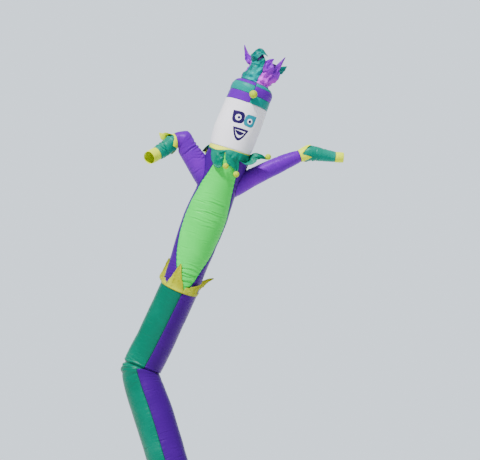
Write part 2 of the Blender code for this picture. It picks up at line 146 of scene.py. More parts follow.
nylonWeave = {
    "threads": 420.0,          # per metre
    "ripstop": 130.0,          # thicker threads per metre
    "threadHeight": 0.4,       # as a share of a thick thread's
    "ripstopSharp": 12,
    "weaveBump": 0.00012,
    "crinkleAcross": 9.0,      # crinkles are long across the tube and short along it
    "crinkleAlong": 70.0,
    "crinkleBump": 0.0022,
    "crinkleStrength": 0.8,
    "crinkleRidgeHighlight": (0.55, 0.8, 0, 0.35),    # crinkle from and to, and how far the ridges go towards the pale colour, as painted highlight
    "crinkleDull": (-0.05, 0.08),    # change of the roughness from valley to ridge
    "fadeScale": 2.4,
    "fadeReach": (0.42, 0.72),
    "stitchPitch": 190.0,      # stitches per metre
    "stitchShare": 0.7,        # of the pitch that is thread
    "stitchFromEdge": 0.007,
    "stitchWidth": 0.0012,
    "stitchBump": 0.0006,
    "stitchPale": (1.5, 0.02),    # times the cloth's colour, and added to it
    "seamShade": 0.012,        # width of the darker strip beside a seam
    "seamDark": 0.25,          # its colour as a share of the cloth's
    "gloss": 0.18,
}


def nylon(name, colour, pale, shine, roughness=0.34, shade=0.62, bleachedAndLit=0.5):
    # colour: the cloth's own; pale: where the sun has bleached it, also mixed onto crinkle ridges as painted
    # highlight; shade: how light the seams stay
    # bleachedAndLit: share of the pale colour in the random fade; on the streamers and waist strips this paints lit
    # patches
    look = nylonWeave
    material = bpy.data.materials.new(name)
    material.use_nodes = True
    nodes, links = material.node_tree.nodes, material.node_tree.links
    shader = nodes["Principled BSDF"]
    setInputs(shader, {"Specular IOR Level": look["gloss"], "Specular Tint": (*shine, 1)})

    def feed(node, output, inputs):
        # a number, a colour or another node's output into each input
        for socket, value in inputs.items():
            if isinstance(value, tuple):
                node.inputs[socket].default_value = (*value, 1)
            elif isinstance(value, (int, float)):
                node.inputs[socket].default_value = value
            else:
                links.new(value, node.inputs[socket])
        return node.outputs[output]

    def math2(operation, a, b=0):
        node = nodes.new("ShaderNodeMath")
        node.operation = operation
        return feed(node, 0, {0: a, 1: b})

    def mix(factor, a, b):
        node = nodes.new("ShaderNodeMix")
        node.data_type = "RGBA"
        return feed(node, 2, {0: factor, 6: a, 7: b})

    def ramp(value, *numbers):
        node = nodes.new("ShaderNodeMapRange")
        setRamp(node, *numbers)
        return feed(node, "Result", {"Value": value})

    def noise(vector, scale, detail):
        return feed(nodes.new("ShaderNodeTexNoise"), "Fac", {"Vector": vector, "Scale": scale, "Detail": detail})

    def bump(height, distance, strength=1.0, **over):
        inputs = {"Height": height, "Distance": distance, "Strength": strength, **over}
        return feed(nodes.new("ShaderNodeBump"), "Normal", inputs)

    cloth = nodes.new("ShaderNodeUVMap")
    cloth.uv_map = "cloth"
    place = cloth.outputs["UV"]
    parts = nodes.new("ShaderNodeSeparateXYZ")
    links.new(place, parts.inputs[0])
    edge = nodes.new("ShaderNodeAttribute")
    edge.attribute_name = "seamDistance"
    fromEdge = edge.outputs["Fac"]
    stretched = nodes.new("ShaderNodeMapping")
    setInputs(stretched, {"Scale": (look["crinkleAcross"], look["crinkleAlong"], 1)})
    links.new(place, stretched.inputs["Vector"])

    # random fade towards the pale colour: sun bleach, and on cloths with a full share painted lit patches
    wornAndLit = mix(ramp(noise(place, look["fadeScale"], 3), *look["fadeReach"], 0, bleachedAndLit), colour, pale)
    crinkle = noise(stretched.outputs["Vector"], 1.0, 4)
    # the crinkle ridges are painted paler: a painted highlight
    wornAndLit = mix(ramp(crinkle, *look["crinkleRidgeHighlight"]), wornAndLit, pale)
    beside = ramp(fromEdge, 0, look["seamShade"], 1 - shade, 0)
    wornAndLit = mix(beside, wornAndLit, tuple(c * look["seamDark"] for c in colour))
    offLine = math2("ABSOLUTE", math2("SUBTRACT", fromEdge, look["stitchFromEdge"]))
    onLine = math2("LESS_THAN", offLine, look["stitchWidth"])
    beat = math2("FRACT", math2("MULTIPLY", math2("ADD", parts.outputs[0], parts.outputs[1]), look["stitchPitch"]))
    stitch = math2("MULTIPLY", onLine, math2("LESS_THAN", beat, look["stitchShare"]))
    times, added = look["stitchPale"]
    wornAndLit = mix(stitch, wornAndLit, tuple(min(1, c * times + added) for c in colour))
    links.new(wornAndLit, shader.inputs["Base Color"])
    low, high = look["crinkleDull"]
    links.new(ramp(crinkle, 0.3, 0.7, roughness + low, roughness + high), shader.inputs["Roughness"])

    def threads(pitch, axis):
        return math2("SINE", math2("MULTIPLY", parts.outputs[axis], pitch * 2 * math.pi))

    fine = math2("ADD", threads(look["threads"], 0), threads(look["threads"], 1))
    thick = math2("MAXIMUM", threads(look["ripstop"], 0), threads(look["ripstop"], 1))
    thick = math2("POWER", math2("MAXIMUM", thick, 0), look["ripstopSharp"])
    weave = bump(math2("ADD", math2("MULTIPLY", fine, look["threadHeight"]), thick), look["weaveBump"])
    crinkled = bump(crinkle, look["crinkleBump"], look["crinkleStrength"], Normal=weave)
    links.new(bump(stitch, look["stitchBump"], Normal=crinkled), shader.inputs["Normal"])
    return material


white, violet, mint, gold = (1, 1, 1), (0.62, 0.3, 1.0), (0.45, 1.0, 0.9), (1.0, 0.95, 0.55)
nylonColours = {
    # the cloth's own colour, the bleached one (also painted highlight on crinkle ridges), colour of the shine, and
    # where a cloth is unlike the others
    "legGreen": ((0.001, 0.118, 0.074), (0.003, 0.2, 0.13), mint, {}),
    "legPurple": ((0.04, 0.0, 0.16), (0.06, 0.0, 0.22), violet, {}),
    "torsoPurple": ((0.048, 0.0, 0.19), (0.08, 0.001, 0.28), violet, {}),
    "sleevePurple": ((0.11, 0.0, 0.38), (0.24, 0.001, 0.64), violet, {}),
    "hatPurple": ((0.115, 0.0, 0.4), (0.18, 0.0, 0.54), violet, {}),
    # the light pink is painted sunlight on the streamers, mixed in as random patches at full share
    "streamerPink": ((0.2, 0.0, 0.56), (0.86, 0.06, 0.96), (0.9, 0.5, 1.0), {"shade": 0.8, "bleachedAndLit": 1.0}),
    "bellyLime": ((0.012, 0.68, 0.07), (0.045, 0.88, 0.11), (0.7, 1.0, 0.6), {}),
    "teal": ((0.0, 0.19, 0.13), (0.001, 0.35, 0.285), mint, {"bleachedAndLit": 0.8}),
    "hatTeal": ((0.0, 0.25, 0.225), (0.001, 0.4, 0.37), mint, {}),
    "crownTeal": ((0.0, 0.15, 0.14), (0.001, 0.5, 0.48), mint, {"bleachedAndLit": 0.9}),
    "collarGreen": ((0.0, 0.15, 0.095), (0.001, 0.33, 0.25), mint, {"shade": 0.8, "bleachedAndLit": 0.9}),
    "yellow": ((0.7, 0.84, 0.004), (0.9, 0.99, 0.06), gold, {"shade": 0.8}),
    "neckYellow": ((0.86, 0.98, 0.05), (0.96, 1.0, 0.18), gold, {"shade": 0.8}),
    # the yellow darkened as painted shade for the waist strips, with random paler patches close to the lit yellow
    "waistShadedYellow": ((0.33, 0.35, 0.006), (0.7, 0.86, 0.04), gold, {"shade": 0.7, "bleachedAndLit": 1.0}),
    "headWhite": ((0.89, 0.89, 1.0), (0.96, 0.96, 1.0), white, {"shade": 0.85}),
    "printNavy": ((0.016, 0.009, 0.075), (0.022, 0.014, 0.095), violet, {"shade": 1.0}),
    "printTeal": ((0.002, 0.24, 0.34), (0.01, 0.31, 0.41), mint, {"shade": 1.0}),
    # painted shade: dark violet for the inner faces of the crown's points
    "crownInside": ((0.03, 0.006, 0.085), (0.055, 0.014, 0.14), violet, {"shade": 0.8}),
    "ballGold": ((0.46, 0.62, 0.006), (0.7, 0.9, 0.03), gold, {"roughness": 0.5}),
}
nylons = {name: nylon(name, *colours, **more) for name, (*colours, more) in nylonColours.items()}
print("nylon ready:", len(nylons), "colours")


# Cloth tubes. A tube is known by its cross-sections, and gives the place of any point on it.

cloth = {
    "thickness": 0.0014,
    "seamGap": 0.0003,
    "rowSpacing": 0.0056,      # along a tube
    "columnSpacing": 0.015,    # round it
    "hemDepth": 0.001,
    "sampleSpacing": 0.01,     # of a tube's own sections
    "creaseWander": 0.0045,    # how far a crease strays from its line
    "endDip": 0.002,           # where a tube is sewn across at its ends
    "endReach": 0.012,
    "smallEndReach": 0.01,
}


def easedCurve(knots, values, places):
    # smooth curve through values that never swings past them
    steps = np.diff(knots)
    slopes = np.diff(values) / steps
    tangents = np.zeros(len(values))
    tangents[0], tangents[-1] = slopes[0], slopes[-1]
    for i in range(1, len(values) - 1):
        if slopes[i - 1] * slopes[i] > 0:
            before, after = 2 * steps[i] + steps[i - 1], steps[i] + 2 * steps[i - 1]
            tangents[i] = (before + after) / (before / slopes[i - 1] + after / slopes[i])
    i = np.clip(np.searchsorted(knots, places, side="right") - 1, 0, len(steps) - 1)
    t = (places - knots[i]) / steps[i]
    return (
        (2 * t**3 - 3 * t**2 + 1) * values[i]
        + (t**3 - 2 * t**2 + t) * steps[i] * tangents[i]
        + (3 * t**2 - 2 * t**3) * values[i + 1]
        + (t**3 - t**2) * steps[i] * tangents[i + 1]
    )


def unit(vectors):
    return vectors / np.linalg.norm(vectors, axis=-1, keepdims=True)


def distancesOf(centres):
    steps = np.linalg.norm(np.diff(centres, axis=0), axis=1)
    return np.concatenate([[0.0], np.cumsum(steps)])


def sectionsOf(rows, leaning=False):
    # sections through a table's rows; its last column says how many each span gets
    rows = np.array(rows, dtype=float)
    knots = distancesOf(rows[:, :3])
    places = [knots[:1]]
    for i, count in enumerate(rows[:-1, -1].astype(int)):
        places.append(np.linspace(knots[i], knots[i + 1], count + 1)[1:])
    places = np.concatenate(places)
    columns = np.stack([easedCurve(knots, rows[:, c], places) for c in range(rows.shape[1] - 1)], 1)
    centre, rest = columns[:, :3], columns[:, 3:]
    steps = centre[1:2] - centre[:1], centre[2:] - centre[:-2], centre[-1:] - centre[-2:-1]
    along = unit(np.concatenate(steps))
    if leaning:
        lean = np.radians(rest[:, 0])
        upright = np.hypot(along[:, 0], along[:, 2])
        along = np.stack([upright * np.sin(lean), along[:, 1], upright * np.cos(lean)], 1)
        rest = rest[:, 1:]
    return {"centre": centre, "along": along, "radius": rest[:, 0], "values": rest[:, 1:]}


def meet(*runs):
    for low, high in zip(runs, runs[1:]):
        high["along"][0] = low["along"][-1]


class Tube:
    def __init__(self, run):
        coarse = distancesOf(run["centre"])
        self.length = coarse[-1]
        self.knots = np.linspace(0, self.length, max(3, round(self.length / cloth["sampleSpacing"])))
        self.centre = self.smooth(coarse, run["centre"])
        self.along = unit(self.smooth(coarse, run["along"]))
        self.radius = easedCurve(coarse, run["radius"], self.knots)
        self.values = self.smooth(coarse, run["values"]).T if run["values"].size else []

    def smooth(self, coarse, columns):
        return np.stack([easedCurve(coarse, column, self.knots) for column in columns.T], 1)

    def value(self, k, distance):
        return np.interp(distance, self.knots, self.values[k])

    def radiusAt(self, distance):
        return np.interp(distance, self.knots, self.radius)

    def distanceAt(self, height):
        return float(np.interp(height, self.centre[:, 2], self.knots))

    def blended(self, columns, distance):
        return np.stack([np.interp(distance, self.knots, columns[:, k]) for k in range(3)], -1)

    def place(self, distance, angle, lift=0.0):
        # point at this distance along the tube and this angle round it, with 0 at the front
        distance, angle, lift = np.broadcast_arrays(
            np.asarray(distance, float), np.asarray(angle, float), np.asarray(lift, float))
        inside = np.clip(distance, 0, self.length)
        along = unit(self.blended(self.along, inside))
        centre = self.blended(self.centre, inside) + along * (distance - inside)[..., None]
        forward = np.array([0.0, -1.0, 0.0])
        front = unit(forward - along * (along @ forward)[..., None])
        across = np.cross(along, front)
        turn = np.radians(angle)[..., None]
        out = front * np.cos(turn) + across * np.sin(turn)
        return centre + out * (self.radiusAt(inside) + lift)[..., None]


# Wrinkles. Every function gives how far the cloth stands out, in metres, at a distance and an angle.


def wrapped(angle):
    return (angle + 180) % 360 - 180


def pulled(x):
    # profile of one pull wrinkle: a sharp valley with a low ridge beside it
    return -np.exp(-np.abs(x) ** 1.6) + 0.6 * np.exp(-((x - 1.9) / 1.1) ** 2)


def creasesRelief(distance, angle, creases, bend=None):
    # creases: distance, middle angle and half span in degrees, depth, width, slant
    # with a bend, each crease runs towards the bend's inner corner: (distance, angle of that corner)
    relief = np.zeros(np.broadcast(distance, angle).shape)
    for start, middle, span, depth, width, slant in creases:
        away = wrapped(angle - middle)
        near = np.abs(away) < span
        line = start + slant * np.radians(away) + cloth["creaseWander"] * np.sin(np.radians(away) * 6 + start * 50)
        if bend:
            share = (1 - np.cos(np.radians(angle - bend[1]))) / 2
            line = bend[0] + (line - bend[0]) * share
        fade = np.where(near, np.cos(np.pi / 2 * np.clip(away / span, -1, 1)) ** 1.5, 0)
        relief += depth * fade * pulled((distance - line) / width)
    return relief


def randomCreases(seed, low, high, kind):
    # kind: least and most of half span, depth and width, the largest slant, and how many a metre
    span, depth, width, slant, perMetre = kind
    ranges = (low, high), (-180, 180), span, depth, width, (-slant, slant)
    rng = np.random.default_rng(seed)
    return [tuple(rng.uniform(*ends) for ends in ranges) for _ in range(int(perMetre * (high - low)))]


def swell(distance, angle, seed, height, lengths=(0.9, 0.43, 0.21)):
    # broad soft unevenness, the same at both sides of a seam
    rng = np.random.default_rng(seed)
    relief = 0
    for k, length in enumerate(lengths):
        for turns in (1, 2, 3):
            phase, twist = rng.uniform(0, 2 * np.pi, 2)
            way = 1 if twist > 3 else -1
            wave = np.sin(2 * np.pi * distance / length + phase + np.radians(turns * angle) * way)
            relief = relief + height / (k + 1) / 3 * wave
    return relief


def seamRelief(tube, distance, angle, seams, look, seed):
    # cloth dips at a seam and puckers beside it, here more and there less
    rng = np.random.default_rng(seed)
    relief = 0
    for seam in seams:
        phase, drift = rng.uniform(0, 2 * np.pi, 2)
        gap = np.radians(np.abs(wrapped(angle - seam))) * tube.radiusAt(distance)
        beat = 2 * np.pi * distance / look["wave"] + phase + 1.6 * np.sin(distance * 9 + drift)
        strength = 0.55 + 0.45 * np.sin(distance * 13 + drift * 2)
        relief = relief - look["dip"] * np.exp(-((gap / look["dipWidth"]) ** 2))
        relief = relief + look["pucker"] * strength * np.sin(beat) * np.exp(-gap / look["reach"])
    return relief


def ringRelief(tube, distance, dip, reach):
    # the tube draws in where it is sewn across, at both of its ends
    ends = np.exp(-((distance / reach) ** 2)) + np.exp(-(((tube.length - distance) / reach) ** 2))
    return -dip * ends


# Cloth pieces


def clothObject(name, points, faces, uv, seamDistance, materials, thickness=None, offset=-1.0):
    mesh = newMesh(name, points, faces)
    layer = mesh.uv_layers.new(name="cloth")
    corners = np.zeros(len(mesh.loops), dtype=int)
    mesh.loops.foreach_get("vertex_index", corners)
    layer.data.foreach_set("uv", np.asarray(uv, dtype=float)[corners].ravel())
    attribute = mesh.attributes.new("seamDistance", "FLOAT", "POINT")
    attribute.data.foreach_set("value", np.asarray(seamDistance, dtype=float))
    mesh.shade_smooth()
    for material in materials:
        mesh.materials.append(nylons[material])
    item = newObject(name, mesh)
    wall = item.modifiers.new("wall", "SOLIDIFY")
    wall.thickness = thickness or cloth["thickness"]
    wall.offset = offset
    return item


def outward(item, join=0.0):
    # turns every face outwards, after points closer together than join have become one
    builder = bmesh.new()
    builder.from_mesh(item.data)
    if join:
        bmesh.ops.remove_doubles(builder, verts=builder.verts, dist=join)
    bmesh.ops.recalc_face_normals(builder, faces=builder.faces)
    builder.to_mesh(item.data)
    builder.free()


def gridFaces(rows, columns, closed=False, flip=False):
    faces = []
    for i in range(rows - 1):
        for j in range(columns if closed else columns - 1):
            k = (j + 1) % columns
            face = (i * columns + j, i * columns + k, (i + 1) * columns + k, (i + 1) * columns + j)
            faces.append(face[::-1] if flip else face)
    return faces


def settle(item, node):
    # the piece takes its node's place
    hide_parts(node)
    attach(item, "root")
    return item


def cutAll(item, guides):
    # cuts a solid piece to the outline that its node has, with plain guide bodies
    for guide in guides:
        cut = item.modifiers.new("cut", "BOOLEAN")
        cut.operation = "DIFFERENCE"
        cut.object = guide
    bpy.context.view_layer.update()
    graph = bpy.context.evaluated_depsgraph_get()
    mesh = bpy.data.meshes.new_from_object(item.evaluated_get(graph), depsgraph=graph)
    item.modifiers.clear()
    item.data = mesh


def sewnPanel(name, node, tube, edges, relief, material, fine=1.0, cutOut=()):
    # panel of a tube between two edge angles, or right round it where edges is None
    gap = cloth["seamGap"] / 2
    rows = max(4, round(tube.length / (cloth["rowSpacing"] * fine)))
    distance = np.linspace(gap, tube.length - gap, rows)
    first, last = edges(distance) if edges else (distance * 0 - 180, distance * 0 + 180)
    radius = tube.radiusAt(distance)
    width = np.radians(last - first) * radius
    columns = max(6, round(width.max() / (cloth["columnSpacing"] * fine)))
    share = np.linspace(0, 1, columns + 1)
    if edges:
        inset = np.degrees(gap / radius)
        first, last = first + inset, last - inset
    else:
        share = share[:-1]
    angle = first[:, None] + (last - first)[:, None] * share
    far = distance[:, None] + 0 * angle
    points = tube.place(far, angle, relief(far, angle))
    acrossEdge = np.minimum(share, 1 - share) * width[:, None] if edges else 0 * angle + 1
    seamDistance = np.minimum(acrossEdge, np.minimum(far, tube.length - far))
    uv = np.stack([share * width[:, None], far], -1)
    faces = gridFaces(rows, len(share), closed=not edges)
    item = clothObject(name, points.reshape(-1, 3), faces, uv.reshape(-1, 2), seamDistance.ravel(), [material])
    if cutOut:
        cutAll(item, cutOut)
    return settle(item, node)


# Leg

legLook = {
    # x, y, z, lean to the right in degrees, radius, front seam angle, sections
    "shape": [
        (0.0, 0.0, 0.0, 0.0, 0.2286, -4, 2),
        (-0.026, 0.013, 0.16, -12.0, 0.2286, -4, 2),
        (-0.098, 0.042, 0.39, -16.5, 0.228, -4, 3),
        (-0.312, 0.12, 1.086, -17.0, 0.227, -4, 2),
        (-0.452, 0.172, 1.54, -17.0, 0.229, -4, 2),
        (-0.568, 0.222, 1.872, -17.0, 0.2225, -5, 1),
        (-0.597, 0.236, 1.96, -7.5, 0.22, -6, 1),
        (-0.617, 0.243, 2.04, 1.5, 0.221, -8, 1),
        (-0.628, 0.246, 2.098, 11.0, 0.23, -8, 1),
        (-0.611, 0.246, 2.139, 19.0, 0.2185, 10, 1),
        (-0.583, 0.243, 2.2, 24.0, 0.225, 11, 1),
        (-0.548, 0.236, 2.27, 25.3, 0.227, 12, 2),
        (-0.454, 0.195, 2.454, 25.3, 0.2212, 13, 2),
        (-0.33, 0.13, 2.715, 25.0, 0.2212, 15, 2),
        (-0.179, 0.04, 3.032, 23.0, 0.2206, 17, 0),
    ],
    "seeds": (11, 3, 5),       # of creases, swell and seams
    "hemHeight": 0.035,
    "plainBelow": 0.1,         # distance up to which there are no creases
    "calmBelow": 0.25,         # distance from which the wrinkles have their full depth
    "kneeHeight": 2.139,
    "kneeCorner": 90,
    "kneeFolds": [    # distance from the crease, middle, half span, depth, width, slant
        (0.0, -40, 165, 0.02, 0.013, 0.0),
        (-0.03, -75, 60, 0.012, 0.009, 0.01),
        (-0.056, -50, 55, 0.011, 0.009, 0.02),
        (-0.088, -85, 50, 0.009, 0.01, 0.0),
        (-0.15, -30, 45, 0.004, 0.013, -0.01),
        (0.04, -65, 45, 0.005, 0.012, 0.0),
        (0.085, -20, 40, 0.003, 0.012, 0.01),
        (-0.03, 70, 50, 0.007, 0.01, 0.03),
        (0.035, 75, 45, 0.006, 0.01, -0.03),
    ],
    # half span, depth and width from and to, slant, how many a metre
    "creases": ((10, 34), (0.0012, 0.0038), (0.005, 0.0075), 0.014, 60),
    "swell": 0.003,
    "seam": {"dip": 0.0035, "dipWidth": 0.012, "pucker": 0.0016, "wave": 0.055, "reach": 0.045},
}
frontSeam = legLook["shape"][-1][5]
backSeam = frontSeam + 180

# Torso

torsoLook = {
    # x, y, z, radius, left and right edge of the belly panel in degrees, sections
    "shape": [
        (-0.179, 0.04, 3.032, 0.2206, 14.5, 19.5, 1),
        (-0.162, 0.032, 3.078, 0.22, 6, 30, 2),
        (-0.128, 0.016, 3.17, 0.2185, -14, 43, 2),
        (-0.083, -0.002, 3.297, 0.22, -34, 54, 2),
        (-0.014, -0.03, 3.477, 0.2332, -53, 70, 3),
        (0.107, -0.08, 3.792, 0.2457, -68, 80, 2),
        (0.163, -0.1, 3.935, 0.24, -68, 76, 2),
        (0.23, -0.13, 4.109, 0.228, -60, 62, 3),
        (0.298, -0.16, 4.312, 0.233, -36, 50, 2),
        (0.347, -0.183, 4.45, 0.246, -24, 42, 1),
        (0.386, -0.201, 4.542, 0.24, -18, 38, 0),
    ],
    "folds": [    # height, middle, half span, depth, width, slant
        (3.082, -2, 50, 0.0068, 0.007, 0.02),
        (3.108, -25, 62, 0.0095, 0.008, 0.026),
        (3.142, 12, 60, 0.0108, 0.008, 0.016),
        (3.176, -14, 75, 0.0081, 0.007, 0.03),
        (3.214, 14, 66, 0.0108, 0.008, 0.022),
        (3.262, 0, 62, 0.0095, 0.0075, 0.026),
        (3.318, 18, 34, 0.0041, 0.0065, 0.02),
        (3.64, -20, 30, 0.0027, 0.006, 0.01),
        (3.752, 20, 34, 0.0041, 0.0065, 0.018),
        (3.79, -8, 50, 0.0054, 0.007, 0.02),
        (3.828, 26, 36, 0.0054, 0.0065, 0.012),
        (3.866, -20, 34, 0.0054, 0.0065, 0.014),
        (3.894, 14, 52, 0.0081, 0.0075, 0.024),
        (3.922, 22, 40, 0.0054, 0.0065, 0.02),
        (3.975, -32, 32, 0.0054, 0.0065, 0.006),
        (4.012, 14, 52, 0.0068, 0.007, 0.02),
        (4.085, -16, 26, 0.0027, 0.006, 0.02),
    ],
    "creases": ((10, 34), (0.001, 0.0032), (0.005, 0.0075), 0.02, 60),
    "seeds": (23, 7, 9),
    "swell": 0.0034,
    "seam": {"dip": 0.0042, "dipWidth": 0.013, "pucker": 0.0026, "wave": 0.05, "reach": 0.05},
}

# Neck band, head and hat

neckLook = {
    # x, y, z, radius, sections
    "shape": [(0.386, -0.201, 4.542, 0.241, 1), (0.404, -0.208, 4.6, 0.241, 0)],
    "creases": ((12, 30), (0.001, 0.002), (0.005, 0.008), 0.01, 60),
    "seeds": (73, 17),
    "swell": 0.001,
    "endDip": 0.001,
}
headLook = {
    "shape": [
        (0.404, -0.208, 4.6, 0.242, 2),
        (0.467, -0.22, 4.8, 0.256, 2),
        (0.571, -0.231, 5.062, 0.248, 1),
        (0.588, -0.233, 5.111, 0.2465, 0),
    ],
    "creases": ((12, 34), (0.0005, 0.0016), (0.007, 0.012), 0.02, 34),
    "seeds": (71, 15),
    "swell": 0.0024,
}
hatLook = {
    "low": [(0.588, -0.233, 5.111, 0.248, 1), (0.627, -0.239, 5.211, 0.244, 0)],
    "middle": [
        (0.627, -0.239, 5.211, 0.245, 1),
        (0.646, -0.242, 5.26, 0.247, 1),
        (0.665, -0.245, 5.309, 0.233, 0),
    ],
    "top": [
        (0.665, -0.245, 5.309, 0.232, 1),
        (0.675, -0.2465, 5.335, 0.208, 1),
        (0.681, -0.2475, 5.35, 0.174, 0),
    ],
    "crown": [
        (0.681, -0.2475, 5.35, 0.169, 1),
        (0.708, -0.251, 5.405, 0.181, 1),
        (0.74, -0.254, 5.458, 0.189, 1),
        (0.772, -0.256, 5.507, 0.192, 0),
    ],
    "seeds": (81, 19),
    "quadrants": ("front_right", "back_right", "back_left", "front_left"),
    "seamAngle": 9.0,
    "creases": ((10, 30), (0.001, 0.003), (0.006, 0.01), 0.02, 60),
    "swell": 0.003,
    "seam": {"dip": 0.004, "dipWidth": 0.013, "pucker": 0.0022, "wave": 0.045, "reach": 0.035},
}


def tubesOf(runs):
    meet(*runs)
    return [Tube(run) for run in runs]


legRun = sectionsOf(legLook["shape"], leaning=True)
legRun["along"][0] = (0, 0, 1)
runs = [legRun, sectionsOf(torsoLook["shape"]), sectionsOf(neckLook["shape"]), sectionsOf(headLook["shape"])]
runs += [sectionsOf(hatLook[level]) for level in ("low", "middle", "top", "crown")]
leg, torso, neck, head, hatLow, hatMiddle, hatTop, crown = tubesOf(runs)
wholeTorso = {key: np.concatenate([runs[1][key], runs[2][key][1:]]) for key in ("centre", "along", "radius")}
collarTube = Tube({**wholeTorso, "values": np.zeros((0, 0))})


def legSeam(distance):
    return leg.value(0, distance)


def legRelief(distance, angle):
    knee = leg.distanceAt(legLook["kneeHeight"])
    folds = [(knee + row[0], *row[1:]) for row in legLook["kneeFolds"]]
    relief = creasesRelief(distance, angle, folds, bend=(knee, legLook["kneeCorner"]))
    creaseSeed, swellSeed, seamSeed = legLook["seeds"]
    creases = randomCreases(creaseSeed, legLook["plainBelow"], leg.length, legLook["creases"])
    relief += creasesRelief(distance, angle, creases) + swell(distance, angle, swellSeed, legLook["swell"])
    seams = (legSeam(distance), legSeam(distance) + 180)
    relief += seamRelief(leg, distance, angle, seams, legLook["seam"], seamSeed)
    relief += ringRelief(leg, distance, cloth["endDip"], cloth["endReach"]) * (distance > legLook["plainBelow"])
    settled = np.clip(distance / legLook["calmBelow"], 0, 1)
    hem = np.where(distance < legLook["hemHeight"], cloth["hemDepth"], 0)
    return relief * settled + hem


def torsoRelief(distance, angle):
    folds = [(torso.distanceAt(row[0]), *row[1:]) for row in torsoLook["folds"]]
    creaseSeed, swellSeed, seamSeed = torsoLook["seeds"]
    relief = creasesRelief(distance, angle, folds)
    relief += creasesRelief(distance, angle, randomCreases(creaseSeed, 0, torso.length, torsoLook["creases"]))
    relief += swell(distance, angle, swellSeed, torsoLook["swell"])
    seams = (torso.value(0, distance), torso.value(1, distance), backSeam)
    relief += seamRelief(torso, distance, angle, seams, torsoLook["seam"], seamSeed)
    return relief + ringRelief(torso, distance, cloth["endDip"], cloth["endReach"])


sewnPanel("legGreen", "leg_green", leg, lambda d: (legSeam(d) - 180, legSeam(d)), legRelief, "legGreen")
sewnPanel("legPurple", "leg_purple", leg, lambda d: (legSeam(d), legSeam(d) + 180), legRelief, "legPurple")
print("leg done")

sewnPanel("belly", "belly_panel", torso, lambda d: (torso.value(0, d), torso.value(1, d)), torsoRelief, "bellyLime")
print("belly done")


# Sleeves, gloves and hands

